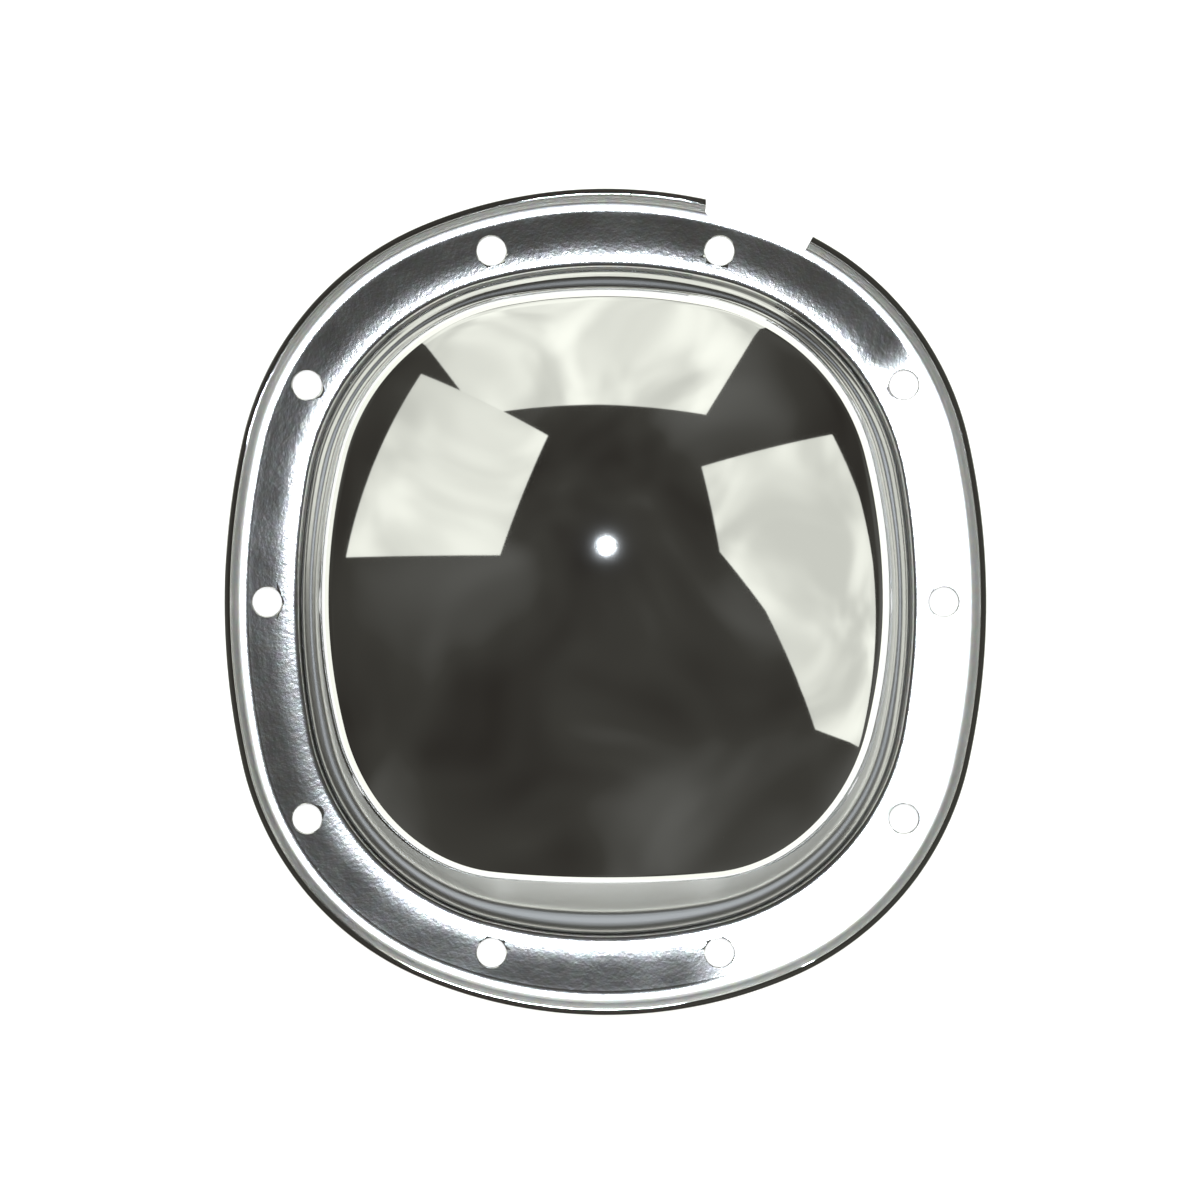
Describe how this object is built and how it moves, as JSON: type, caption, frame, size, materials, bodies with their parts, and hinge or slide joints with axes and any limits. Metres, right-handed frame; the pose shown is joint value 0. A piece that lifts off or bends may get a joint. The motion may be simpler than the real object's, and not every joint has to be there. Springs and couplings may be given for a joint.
{
  "type": "differential cover",
  "caption": "Pressed and chromed steel cover for a drive axle housing: a domed bulge with a low step round it, a flat bolted flange and a turned-up lip with a notch.",
  "frame": {"origin": "centre of the mating face, which lies on the surface that the cover rests on", "axes": "+Z out of the bulge, away from the axle; +Y to the edge that is uppermost on the axle; +X to the right, seen from outside"},
  "size_m": [0.2574, 0.2792, 0.052],
  "materials": {
    "chrome": "polished chrome plate, slightly grainy on the flange"
  },
  "bodies": {
    "root": {"differential_cover": "chrome"}
  },
  "joints": []
}
